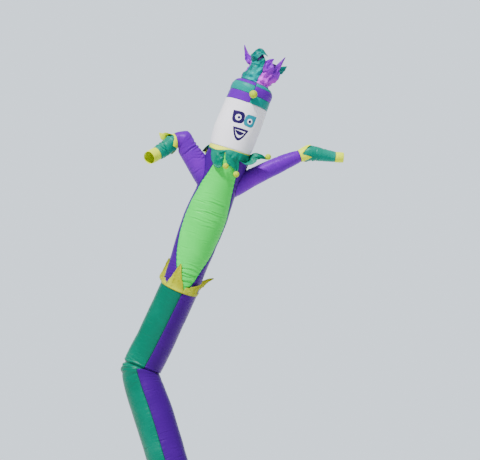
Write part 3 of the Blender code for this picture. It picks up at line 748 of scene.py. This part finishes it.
armLook = {
    "left": {
        # x, y, z, lean to the right in degrees, radius, sections
        "sleeve": [
            (0.2, -0.142, 4.175, -33, 0.133, 1),
            (0.108, -0.165, 4.316, -33, 0.133, 2),
            (-0.005, -0.2, 4.498, -33, 0.124, 2),
            (-0.09, -0.23, 4.624, -38, 0.113, 1),
            (-0.134, -0.246, 4.705, -64, 0.112, 1),
            (-0.191, -0.257, 4.703, -90, 0.09, 1),
            (-0.222, -0.268, 4.687, -104, 0.087, 0),
        ],
        "glove": [
            (-0.222, -0.268, 4.687, -104, 0.085, 1),
            (-0.258, -0.288, 4.66, -116, 0.089, 2),
            (-0.324, -0.328, 4.602, -127, 0.088, 2),
            (-0.391, -0.367, 4.549, -127, 0.082, 1),
            (-0.424, -0.39, 4.525, -125, 0.074, 0),
        ],
        "hand": [
            (-0.424, -0.39, 4.525, -125, 0.076, 1),
            (-0.469, -0.43, 4.493, -125, 0.078, 1),
            (-0.51, -0.482, 4.464, -125, 0.074, 0),
        ],
        # first column, columns, middle and tip as (along, off the surface, turn), width at the middle, twist
        "cuffPoints": [
            (2, 3, (0.062, 0.026, 0), (0.08, 0.092, 0), 0.85, 80),
            (5, 3, (0.045, 0.006, 0), (0.09, 0.012, 0), 0.55, 0),
            (8, 3, (0.045, 0.007, 0), (0.09, 0.014, 0), 0.55, 0),
            (11, 4, (0.04, 0.006, 0), (0.08, 0.012, 0), 0.55, 0),
        ],
        "bendStart": 0.5,      # distance along the sleeve of the elbow's sharpest fold
        "bendCorner": -90,
        "bendFolds": [
            (0.0, 60, 150, 0.01, 0.01, 0.0),
            (-0.04, 90, 70, 0.008, 0.011, 0.0),
            (0.036, 75, 70, 0.007, 0.01, 0.0),
            (-0.085, 70, 60, 0.006, 0.012, 0.01),
            (-0.14, 40, 50, 0.005, 0.012, 0.02),
            (-0.205, 20, 55, 0.005, 0.012, 0.03),
        ],
        "gloveFolds": ((45, 130), (0.006, 0.012), (0.009, 0.013), 0.02, 80),
        "seed": 41,
    },
    "right": {
        "sleeve": [
            (0.37, -0.116, 4.138, 62, 0.112, 1),
            (0.475, -0.112, 4.193, 62, 0.112, 1),
            (0.579, -0.106, 4.25, 62, 0.107, 2),
            (0.868, -0.088, 4.4, 64, 0.098, 2),
            (1.057, -0.074, 4.488, 66, 0.086, 1),
            (1.14, -0.066, 4.523, 67, 0.077, 1),
            (1.193, -0.06, 4.544, 70, 0.066, 0),
        ],
        "glove": [
            (1.193, -0.06, 4.544, 70, 0.065, 1),
            (1.247, -0.05, 4.562, 76, 0.078, 1),
            (1.312, -0.04, 4.582, 86, 0.09, 2),
            (1.454, -0.02, 4.565, 98, 0.075, 2),
            (1.604, 0.0, 4.542, 96, 0.059, 0),
        ],
        "hand": [
            (1.604, 0.0, 4.542, 96, 0.06, 1),
            (1.65, 0.005, 4.539, 93, 0.0615, 1),
            (1.699, 0.01, 4.537, 92, 0.0595, 0),
        ],
        "cuffPoints": [
            (0, 3, (0.05, 0.004, 0), (0.105, 0.008, 0), 0.55, 0),
            (3, 4, (0.045, 0.004, 0), (0.095, 0.008, 0), 0.55, 0),
            (7, 3, (0.045, 0.004, 0), (0.1, 0.01, 0), 0.55, 0),
            (10, 4, (0.05, 0.006, 0), (0.11, 0.014, 0), 0.55, 0),
        ],
        "bendStart": 0.86,
        "bendCorner": -90,
        "bendFolds": [
            (0.0, 60, 90, 0.004, 0.009, 0.0),
            (-0.06, 30, 70, 0.003, 0.009, 0.01),
            (-0.13, 70, 60, 0.003, 0.01, 0.0),
        ],
        "gloveFolds": ((24, 80), (0.002, 0.0055), (0.007, 0.011), 0.014, 70),
        "seed": 57,
    },
    "creases": ((16, 60), (0.0012, 0.0036), (0.0055, 0.0085), 0.014, 85),
    "swell": 0.0022,
    "seam": {"dip": 0.003, "dipWidth": 0.01, "pucker": 0.0016, "wave": 0.04, "reach": 0.03},
    "seamAngle": -150,
    "handSwell": 0.0015,
    "handDip": 0.001,
    "guideColumns": (96, 64),    # torso, sleeve
    "guideEnds": (0.02, 0.002),
    "cutBack": 0.0006,
}


def reliefOf(tube, creases, swellHeight, seed, seams=(), seamLook=None, folds=(), bend=None,
             ends=cloth["endDip"]):
    def relief(distance, angle):
        made = creasesRelief(distance, angle, creases) + swell(distance, angle, seed, swellHeight)
        if len(folds):
            made += creasesRelief(distance, angle, folds, bend)
        if len(seams):
            made += seamRelief(tube, distance, angle, seams, seamLook, seed)
        return made + ringRelief(tube, distance, ends, cloth["smallEndReach"])
    return relief


def guideTube(tube, low, high, columns, lift, relief=None):
    # closed plain body of a stretch of tube, used only for cutting
    rows = max(4, round((high - low) / cloth["sampleSpacing"]))
    distance = np.linspace(low, high, rows)[:, None] + np.zeros((1, columns))
    angle = np.linspace(-180, 180, columns, endpoint=False)[None] + 0 * distance
    points = tube.place(distance, angle, (relief(distance, angle) if relief else 0) + lift).reshape(-1, 3)
    faces = gridFaces(rows, columns, closed=True)
    faces += [tuple(range(columns))[::-1], tuple(range((rows - 1) * columns, rows * columns))]
    return newObject("guide", newMesh("guide", points, faces))


armTubes = {}
for side in ("left", "right"):
    look = armLook[side]
    armTubes[side] = tubesOf([sectionsOf(look[part], leaning=True) for part in ("sleeve", "glove", "hand")])

(low, high), (torsoColumns, sleeveColumns) = armLook["guideEnds"], armLook["guideColumns"]
torsoGuide = guideTube(torso, low, torso.length - high, torsoColumns, armLook["cutBack"], torsoRelief)
armGuides = {}
for side in ("left", "right"):
    look, (sleeve, glove, hand) = armLook[side], armTubes[side]
    seed = look["seed"]
    seams = (armLook["seamAngle"],)
    folds = [(look["bendStart"] + row[0], *row[1:]) for row in look["bendFolds"]]
    bend = (look["bendStart"], look["bendCorner"])
    creases = randomCreases(seed, 0, sleeve.length, armLook["creases"])
    sleeveRelief = reliefOf(sleeve, creases, armLook["swell"], seed, seams, armLook["seam"], folds, bend)
    sewnPanel(f"sleeve.{side}", f"sleeve_{side}", sleeve, None, sleeveRelief, "sleevePurple", 0.8,
              [torsoGuide])
    armGuides[side] = guideTube(sleeve, 0, sleeve.length / 2, sleeveColumns, -cloth["thickness"], sleeveRelief)
    creases = randomCreases(seed + 1, 0, glove.length, look["gloveFolds"])
    gloveRelief = reliefOf(glove, creases, armLook["swell"], seed + 1, seams, armLook["seam"])
    sewnPanel(f"glove.{side}", f"glove_{side}", glove, None, gloveRelief, "teal", 0.7)
    creases = randomCreases(seed + 2, 0, hand.length, armLook["creases"])
    handRelief = reliefOf(hand, creases, armLook["handSwell"], seed + 2, ends=armLook["handDip"])
    sewnPanel(f"hand.{side}", f"hand_{side}", hand, None, handRelief, "yellow", 0.6)
print("sleeves, gloves and hands done")

sidePanels = {
    "left": lambda d: (0 * d + backSeam - 360, torso.value(0, d)),
    "right": lambda d: (torso.value(1, d), 0 * d + backSeam),
}
for side, edges in sidePanels.items():
    sewnPanel(f"torso.{side}", f"torso_{side}", torso, edges, torsoRelief, "torsoPurple",
              1.0, [armGuides[side]])
for guide in (torsoGuide, *armGuides.values()):
    bpy.data.objects.remove(guide)
print("torso sides done")

# Head, with the printed face cut into the mesh as faces of another colour

faceLook = {
    "radius": 0.25,            # the print is laid out flat at this radius: x to the viewer's right, y up the head
    "leftPatch": {"centre": (-0.018, 0.35), "size": (0.142, 0.138), "turn": 9, "corner": 0.05, "sharp": "topLeft"},
    "rightPatch": {"centre": (0.12, 0.355), "size": (0.13, 0.138), "turn": 2, "corner": 0.044, "sharp": "topRight"},
    "leftEye": {"centre": (-0.02, 0.3485), "white": 0.035, "look": (-0.012, 0.3495), "pupil": 0.0165},
    "rightEye": {"centre": (0.122, 0.3515), "white": 0.0315, "look": (0.123, 0.3505), "pupil": 0.0175},
    "mouth": {"left": (-0.038, 0.235), "right": (0.149, 0.2485), "bottom": (0.0595, 0.0985), "crown": 0.002},
    "tongue": {"left": (-0.003, 0.207), "right": (0.113, 0.201), "bottom": (0.054, 0.16), "crown": 0.003},
    "lipLine": 0.031,
    "grid": (104, 50),         # columns and rows of the head's mesh
    "sharpReach": 0.005,
    "clear": 0.005,            # no other vertex is this near to the print's edge
}


def patchOutline(look):
    # box with rounded corners, of which one is drawn out to a point
    signs = {"topRight": (1, 1), "topLeft": (-1, 1), "bottomLeft": (-1, -1), "bottomRight": (1, -1)}
    half, corner, cornerSteps = np.array(look["size"]) / 2, look["corner"], 6
    points = []
    for k, (name, sign) in enumerate(signs.items()):
        sign = np.array(sign)
        if name == look["sharp"]:
            points.append(sign * (half + faceLook["sharpReach"]))
            continue
        middle = sign * (half - corner)
        start = math.radians(90 * k)
        for step in range(cornerSteps + 1):
            turn = start + math.pi / 2 * step / cornerSteps
            points.append(middle + corner * np.array([math.cos(turn), math.sin(turn)]))
    turn = math.radians(look["turn"])
    spin = np.array([[math.cos(turn), -math.sin(turn)], [math.sin(turn), math.cos(turn)]])
    return np.array(points) @ spin.T + np.array(look["centre"])


def circleOutline(centre, radius, count):
    turn = np.linspace(0, 2 * np.pi, count, endpoint=False)
    return np.stack([np.cos(turn), np.sin(turn)], 1) * radius + np.array(centre)


def smileOutline(look, inner=0.0):
    # nearly straight upper lip over one deep curve
    left, right, bottom = (np.array(look[key]) for key in ("left", "right", "bottom"))
    control = 2 * bottom - (left + right) / 2
    t = np.linspace(0, 1, 17)[:, None]
    lower = left * (1 - t) ** 2 + control * 2 * t * (1 - t) + right * t**2
    t = np.linspace(1, 0, 9)[1:-1, None]
    upper = left * (1 - t) + right * t + np.array([0, look["crown"]]) * 4 * t * (1 - t)
    outline = np.concatenate([lower, upper])
    middle = outline.mean(0)
    size = np.ptp(outline, axis=0)
    return middle + (outline - middle) * (1 - 2 * inner / size) if inner else outline


def insideOf(points, outline):
    # even-odd test of many points at once
    inside = np.zeros(len(points), dtype=bool)
    for a, b in zip(outline, np.roll(outline, -1, axis=0)):
        spans = (a[1] > points[:, 1]) != (b[1] > points[:, 1])
        rise = b[1] - a[1] or 1e-12
        inside ^= spans & (points[:, 0] < (b[0] - a[0]) * (points[:, 1] - a[1]) / rise + a[0])
    return inside


def makeHead(relief):
    mouth, tongue = faceLook["mouth"], faceLook["tongue"]
    prints = []    # outline and material slot, the upper ones last
    for side, slot in (("left", 1), ("right", 2)):
        eye = faceLook[f"{side}Eye"]
        prints.append((patchOutline(faceLook[f"{side}Patch"]), slot))
        prints.append((circleOutline(eye["centre"], eye["white"], 28), 0))
        prints.append((circleOutline(eye["look"], eye["pupil"], 14), 1))
    prints += [(smileOutline(mouth), 1), (smileOutline(mouth, faceLook["lipLine"]), 0), (smileOutline(tongue), 1)]
    gap, around = cloth["seamGap"] / 2, math.pi * faceLook["radius"]
    columns, rows = faceLook["grid"]
    x, y = np.meshgrid(np.linspace(-around, around, columns + 1), np.linspace(gap, head.length - gap, rows))
    grid = np.stack([x.ravel(), y.ravel()], 1)
    edges, points = [], []
    for outline, _ in prints:
        start = len(points)
        points += list(outline)
        edges += [(start + i, start + (i + 1) % len(outline)) for i in range(len(outline))]
    outlines = np.array(points)
    nearest = np.min(np.linalg.norm(grid[:, None] - outlines[None], axis=2), axis=1)
    points += list(grid[nearest > faceLook["clear"]])
    flat, _, faces, _, _, _ = delaunay_2d_cdt([Vector(p) for p in points], edges, [], 0, 1e-6)
    flat = np.array(flat)
    angle = np.degrees(flat[:, 0] / faceLook["radius"])
    shape = head.place(flat[:, 1], angle, relief(flat[:, 1], angle))
    seamDistance = np.minimum(around - np.abs(flat[:, 0]), np.minimum(flat[:, 1], head.length - flat[:, 1]))
    item = clothObject("head.face", shape, faces, flat, seamDistance, ["headWhite", "printNavy", "printTeal"])
    middles = np.array([flat[list(face)].mean(0) for face in faces])
    colour = np.zeros(len(faces), dtype=np.int32)
    for outline, slot in prints:
        colour[insideOf(middles, outline)] = slot
    item.data.polygons.foreach_set("material_index", colour)
    outward(item, 1e-5)
    settle(item, "head")


creaseSeed, swellSeed = headLook["seeds"]
creases = randomCreases(creaseSeed, 0, head.length, headLook["creases"])
makeHead(reliefOf(head, creases, headLook["swell"], swellSeed))
creaseSeed, swellSeed = neckLook["seeds"]
creases = randomCreases(creaseSeed, 0, neck.length, neckLook["creases"])
neckRelief = reliefOf(neck, creases, neckLook["swell"], swellSeed, ends=neckLook["endDip"])
sewnPanel("neckBand", "neck_band", neck, None, neckRelief, "neckYellow", 0.8)
print("head and neck done")


# Hat

def makeHat():
    creaseSeed, swellSeed = hatLook["seeds"]
    firsts = [hatLook["seamAngle"] + 90 * i for i in range(4)]
    for row, (level, tube) in enumerate((("low", hatLow), ("middle", hatMiddle), ("top", hatTop))):
        creases = randomCreases(creaseSeed + row, 0, tube.length, hatLook["creases"])
        relief = reliefOf(tube, creases, hatLook["swell"], swellSeed, firsts, hatLook["seam"])
        for i, name in enumerate(hatLook["quadrants"]):
            node = f"hat_{level}_{name}"
            material = "hatTeal" if (i + row) % 2 == 0 else "hatPurple"
            edges = lambda d, first=firsts[i]: (0 * d + first, 0 * d + first + 90)
            sewnPanel(node.replace("_", "."), node, tube, edges, relief, material, 0.7)


makeHat()
print("hat done")


# Bands with loose points: collar, cuffs, waist strips and crown

trimLook = {
    "thickness": 0.0012,
    "tipWidth": 0.06,
    "tipCrumple": 0.35,        # depth of the creases at a point's tip, as a share of the depth at its root
    "pointRows": 34,
    "subColumns": 5,           # fine columns for each of the band's own
    "ragged": 0.05,            # share by which a point's edges wander
    "raggedWaves": 23,
    "droopFrom": 0.68,         # share of a point after which it can hang down
    "seam": 0.1,               # degrees left free beside the seam between two bands
    "bandRow": 0.009,          # height of the band's rows
    "calmFor": 0.03,           # distance over which the crumples grow from the sewn edge
    "waves": ((0.145, 0.5), (0.09, 0.36), (0.052, 0.22), (0.031, 0.12)),    # length and share
}
collarLook = {
    # first column, columns, middle and tip as (along, off the surface, turn), width at the middle, twist
    "points": [
        (2, 3, (0.128, 0.01, 19), (0.122, 0.05, 29.5), 0.5, 0),
        (5, 3, (0.088, 0.012, 18), (0.148, 0.046, 13.5), 0.36, 0),
        (8, 4, (-0.082, 0.088, 4), (-0.085, 0.19, 13), 0.34, 65),
        (12, 4, (0.1, 0.05, 10), (0.19, 0.11, 11), 0.55, 0),
        (16, 4, (0.1, 0.05, 10), (0.2, 0.08, 1), 0.55, 0),
        (20, 4, (0.03, 0.034, 6), (0.05, 0.048, -7), 0.5, 0),
    ],
    "first": -82.0,            # angle of the first column
    "heading": -1,             # the points grow down the tube
    "columns": 24,
    "notch": (-6, 0.03, 8),    # angle, height and half width of the slit between the first two points
    "drop": 0.012,
    "rise": (0.014, 0.066),
    "lift": 0.0055,
    "flutter": 0.032,
    "seed": 101,
    "waves": ((0.12, 0.4), (0.07, 0.42), (0.042, 0.36), (0.028, 0.18)),
    "balls": 6,
}
waistLook = {
    "left": [
        (0, 4, (0.1, 0.03, 0), (0.2, 0.06, 4), 0.6, 0),
        (4, 4, (0.135, 0.004, -2), (0.27, 0.01, 4), 0.3, 55),
        (8, 4, (0.14, 0.006, -3), (0.262, 0.012, -2), 0.44, 0),
    ],
    "right": [
        (0, 4, (0.042, 0.016, 6), (0.12, 0.03, 18), 0.5, 0),
        (4, 4, (0.117, 0.022, 0), (0.211, 0.12, 0), 0.34, -80),
        (8, 4, (0.11, 0.03, 0), (0.21, 0.06, 0), 0.6, 0),
    ],
    "heading": 1,
    "columns": 12,
    "band": 0.022,
    "lift": 0.0032,
    "flutter": 0.028,
    "seed": 131,
    "waves": ((0.11, 0.25), (0.06, 0.6), (0.04, 0.35)),
}
cuffLook = {"heading": 1, "columns": 14, "band": 0.024, "lift": 0.0022, "start": 0.0016, "flutter": 0.008, "seed": 151}
crownLook = {
    "front_left": [
        (0, 3, (0.1, 0.01, 0), (0.235, -0.04, 27), 0.95, 15),
        (3, 3, (0.06, -0.01, -2), (0.115, -0.035, -4), 0.7, 0),
    ],
    "front_right": [
        (0, 3, (0.08, 0.01, -19), (0.165, -0.03, -10), 0.7, 0),
        (3, 3, (0.105, -0.02, -18), (0.262, -0.04, -4), 0.46, -45),
    ],
    "back_right": [
        (0, 3, (0.1, 0.01, 0), (0.195, 0.03, -8), 0.75, -95),
        (3, 3, (0.09, -0.01, -16), (0.15, -0.02, -30), 0.95, 0),
    ],
    "back_left": [
        (0, 3, (0.09, -0.02, 6), (0.185, -0.04, 22), 0.8, 0),
        (3, 3, (0.048, 0.054, 0), (0.14, 0.15, 4), 0.44, 125),
    ],
    "droop": {"front_left": 0.1},    # how far the end of a quadrant's first point hangs down again
    "heading": 1,
    "lift": 0.0,
    "columns": 6,
    "flutter": 0.036,
    "free": True,              # the creases go both ways
    "seed": 181,
    "waves": ((0.17, 0.5), (0.1, 0.42), (0.06, 0.2)),
    "gap": 0.0006,
    # the inner faces take a dark violet painted as the shade inside the crown
    "inside": "crownInside",
}


def bent(middle, tip, t):
    # value at t of a curve that starts at 0 and passes the middle value halfway
    control = middle * 2 - tip / 2
    return control * 2 * t * (1 - t) + tip * t**2


def crumpled(look, angle, radius, v):
    # how far loose cloth stands out with its sharp random creases, v beyond the line where its points start
    rng = np.random.default_rng(look["seed"])
    turn = np.radians(angle)
    place = np.stack(np.broadcast_arrays(radius * np.cos(turn), radius * np.sin(turn), v), -1)
    height = 0
    for length, share in look.get("waves", trimLook["waves"]):
        for _ in range(3):
            heading = unit(rng.normal(size=(2, 3)) * (1, 1, 0.7))
            phase, drift = rng.uniform(0, 2 * np.pi, 2)
            run, sway = place @ heading[0] / length, place @ heading[1] / length
            wave = run + 0.3 * np.sin(1.9 * sway + drift)
            height = height + share * (1 - 2 * np.abs(np.sin(np.pi * wave + phase)) ** 0.8) * 0.62
    return look["flutter"] * (height if look.get("free") else np.clip(0.5 + 0.5 * height, 0, 1.2))


def growPoint(tube, start, rootAngles, point, look, number, droop=0.0):
    # rows of a loose point after its root row, its length and its mean width share
    _, _, middle, tip, middleWidth, twist = point
    middleAngle = (rootAngles[0] + rootAngles[-1]) / 2
    heading, droopFrom, tipCrumple = look["heading"], trimLook["droopFrom"], trimLook["tipCrumple"]

    def placeAt(t, spread=0.0, raised=0.0):
        along, lift, turn = (bent(m, e, t) for m, e in zip(middle, tip))
        place = tube.place(start + heading * along, middleAngle + turn + spread, look["lift"] + lift + raised)
        return place - np.array([0, 0, droop]) * max(0, (t - droopFrom) / (1 - droopFrom)) ** 1.6

    rootHeading = tube.place(start + heading * 0.001, middleAngle) - tube.place(start, middleAngle)
    rootHeading = Vector(rootHeading).normalized()
    count, startRadius = trimLook["pointRows"], tube.radiusAt(start)
    halfSpan = (rootAngles[-1] - rootAngles[0]) / 2
    wander = np.random.default_rng(look["seed"] + number).uniform(0, 2 * np.pi, 2)
    s = np.linspace(-1, 1, len(rootAngles))
    rows, length, last, share = [], 0.0, placeAt(0), 0.0
    knots, widths = np.array([0, 0.5, 1.0]), np.array([1.0, middleWidth, trimLook["tipWidth"]])
    for i in range(1, count + 1):
        t = i / count
        width = easedCurve(knots, widths, np.array([t]))[0]
        place = placeAt(t)
        length += float(np.linalg.norm(place - last))
        direction = Vector(unit(place - placeAt(t - 0.1)))
        bend = rootHeading.rotation_difference(direction).to_matrix()
        turn = np.array(Matrix.Rotation(math.radians(twist * t * (2 - t)), 3, direction) @ bend)
        along, lift = bent(middle[0], tip[0], t), bent(middle[1], tip[1], t)
        reach = startRadius / (tube.radiusAt(start + heading * along) + look["lift"] + lift)
        waves = np.sin(t * trimLook["raggedWaves"] + wander[0] + s * wander[1])
        ragged = 1 + trimLook["ragged"] * waves * min(1, 4 * t)
        offsets = placeAt(t, s * halfSpan * width * reach * ragged) - place
        out = turn @ unit(placeAt(t, 0, 0.01) - place)
        creases = crumpled(look, rootAngles, startRadius, length) * (tipCrumple + (1 - tipCrumple) * width)
        rows.append(place + offsets @ turn.T + creases[:, None] * out)
        last, share = place, share + width / count
    return np.array(rows), length, share


def pointedBand(name, node, tube, where, first, span, rise, points, material, look, droop=0.0):
    # band that ends where its points start on the tube; rise gives its height at an angle
    closed = span == 360
    fine = look["columns"] * trimLook["subColumns"]
    angles = first + span * np.arange(fine + (not closed)) / fine
    radius = float(tube.radiusAt(np.clip(where, 0, tube.length)))
    places, uv, edge = [], [], []
    rises = np.array([rise(a) for a in angles])
    tallest = rises.max()
    bandRows = max(3, round(tallest / trimLook["bandRow"]))
    middle, height, half = look.get("notch", (0, 0, 1))
    foot = height * np.exp(-((wrapped(angles - middle) / half) ** 2))
    for k in range(bandRows + 1):
        depth = foot + (rises - foot) * (1 - k / bandRows)
        grown = min(1, k / bandRows * tallest / trimLook["calmFor"]) ** 1.5
        waves = crumpled(look, angles, radius, -depth) * grown
        places.append(tube.place(where - look["heading"] * depth, angles, look["lift"] + waves))
        uv.append(np.stack([np.radians(angles) * radius, -depth], 1))
        edge.append(rises - depth)
    perRow = len(angles)
    flip = look["heading"] < 0
    faces = gridFaces(bandRows + 1, perRow, closed, flip)
    places, uv, edge = np.concatenate(places), np.concatenate(uv), np.concatenate(edge)
    area, longest = float(np.radians(span) * radius * rises.mean()), 0.0
    for number, point in enumerate(points):
        start, width = point[0] * trimLook["subColumns"], point[1] * trimLook["subColumns"]
        root = [bandRows * perRow + (start + j) % perRow for j in range(width + 1)]
        rootAngles = first + span * (start + np.arange(width + 1)) / fine
        rows, length, share = growPoint(tube, where, rootAngles, point, look, number, 0 if number else droop)
        base = len(places)
        index = np.concatenate([[root], base + np.arange(rows.shape[0] * (width + 1)).reshape(-1, width + 1)])
        for i in range(len(rows)):
            for j in range(width):
                face = (index[i, j], index[i, j + 1], index[i + 1, j + 1], index[i + 1, j])
                faces.append(face[::-1] if flip else face)
        places = np.concatenate([places, rows.reshape(-1, 3)])
        t = np.arange(1, len(rows) + 1)[:, None] / len(rows)
        s = np.linspace(-1, 1, width + 1)[None]
        rootWidth = float(np.radians(rootAngles[-1] - rootAngles[0]) * radius)
        uv = np.concatenate([uv, np.stack([s * rootWidth / 2 + 0 * t, t * length + 0 * s], -1).reshape(-1, 2)])
        edge = np.concatenate([edge, ((1 - np.abs(s)) * rootWidth / 2 * (1 - t * 0.9)).ravel()])
        area += rootWidth * length * share
        longest = max(longest, length)
    # a second material, where the look names one, goes on the inner faces: the crown's painted shade
    materials = [material, look["inside"]] if "inside" in look else [material]
    item = clothObject(name, places, [tuple(int(v) for v in f) for f in faces], uv, edge + 0.001, materials,
                       thickness=trimLook["thickness"], offset=1.0)
    item.modifiers["wall"].material_offset = len(materials) - 1
    return settle(item, node)


def collarRise(angle):
    # the collar is sewn on askew, and covers the neck band right of the middle
    low, high = collarLook["rise"]
    share = min(1, max(0, (math.sin(math.radians(angle)) + 0.75) / 0.9))
    return low + (high - low) * share**2 * (3 - 2 * share)


collarStart = collarTube.length - (collarLook["drop"] + neck.length)
pointedBand("collar.points", "collar", collarTube, collarStart, collarLook["first"], 360, collarRise,
            collarLook["points"], "collarGreen", collarLook)
print("collar done")

waistStart, beside = cloth["seamGap"] + waistLook["band"], trimLook["seam"]
for side, first in (("left", frontSeam - 180), ("right", frontSeam)):
    pointedBand(f"waist.{side}", f"waist_points_{side}", torso, waistStart, first + beside, 180 - 2 * beside,
                lambda a: waistLook["band"], waistLook[side], "waistShadedYellow", waistLook)
print("waist strips done")

for side in ("left", "right"):
    pointedBand(f"cuff.{side}", f"cuff_{side}", armTubes[side][1], cuffLook["start"] + cuffLook["band"], 0, 360,
                lambda a: cuffLook["band"], armLook[side]["cuffPoints"], "yellow", cuffLook)
print("cuffs done")

for i, name in enumerate(hatLook["quadrants"]):
    pointedBand(f"crown.{name.replace('_', '.')}", f"crown_{name}", crown, crown.length,
                hatLook["seamAngle"] + 90 * i + beside, 90 - 2 * beside, lambda a: crown.length - crownLook["gap"],
                crownLook[name], "streamerPink" if i % 2 == 0 else "crownTeal", crownLook,
                crownLook["droop"].get(name, 0.0))
print("crown done")


# Stuffed balls

ballLook = {
    "gores": 6,
    "perGore": 8,
    "rings": 22,
    "groove": 0.05,            # depth of the seams as a share of the radius
    "tuck": 0.1,               # depth of the hollows where the gores meet
    "tuckReach": 0.35,
    "uneven": 0.012,
    "seeds": (200, 211),       # collar, hat
}


def stuffedBall(name, node, material, seed):
    low, high = (np.array(corner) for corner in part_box(node))
    centre, radius = (low + high) / 2, float((high - low).min()) / 2
    rng = np.random.default_rng(seed)
    around = ballLook["gores"] * ballLook["perGore"]
    turn = np.arange(around) * 2 * np.pi / around
    tilt = np.linspace(0, np.pi, ballLook["rings"])[1:-1]
    tilts, turns = np.meshgrid(tilt, turn, indexing="ij")
    seam = np.abs(np.cos(turns * ballLook["gores"] / 2)) ** 10 * np.sin(tilts)
    reach, uneven = ballLook["tuckReach"], ballLook["uneven"]
    pole = np.exp(-((tilts / reach) ** 2)) + np.exp(-(((np.pi - tilts) / reach) ** 2))
    size = radius * (1 - ballLook["groove"] * seam - ballLook["tuck"] * pole)
    size = size * (1 + uneven * np.sin(turns * 5 + rng.uniform(0, 6)) * np.sin(tilts * 4 + rng.uniform(0, 6)) - 0.01)
    shape = np.stack([np.sin(tilts) * np.cos(turns), np.sin(tilts) * np.sin(turns), np.cos(tilts)], -1)
    shape *= size[..., None]
    poles = np.array([[0, 0, 1.0], [0, 0, -1.0]]) * radius * (1 - 1.3 * ballLook["tuck"])
    points = np.concatenate([shape.reshape(-1, 3), poles])
    lean = np.array(Matrix.Rotation(rng.uniform(0.5, 1.2), 3, Vector((*rng.uniform(-1, 1, 2), 0.2)).normalized()))
    rows = len(tilt)
    faces = gridFaces(rows, around, closed=True, flip=True)
    top, bottom = rows * around, rows * around + 1
    for j in range(around):
        k = (j + 1) % around
        faces += [(j, k, top), (bottom, (rows - 1) * around + k, (rows - 1) * around + j)]
    uv = np.concatenate([np.stack([turns * radius, (np.pi - tilts) * radius], -1).reshape(-1, 2), [[0, 0], [0, 0]]])
    away = np.abs(((turns * ballLook["gores"] / (2 * np.pi)) % 1) - 0.5)
    gap = (0.5 - away) * 2 * np.pi / ballLook["gores"] * radius
    gap = np.concatenate([gap.ravel(), [0, 0]])
    item = clothObject(name, points @ lean.T + centre, faces, uv, gap, [material])
    item.modifiers.clear()
    outward(item)
    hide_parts(node)
    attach(item, "root")


collarSeed, hatSeed = ballLook["seeds"]
for number in range(1, collarLook["balls"] + 1):
    stuffedBall(f"collarBall.{number}", f"collar_ball_{number}", "ballGold", collarSeed + number)
stuffedBall("hatBall", "hat_ball", "ballGold", hatSeed)
print("balls done")
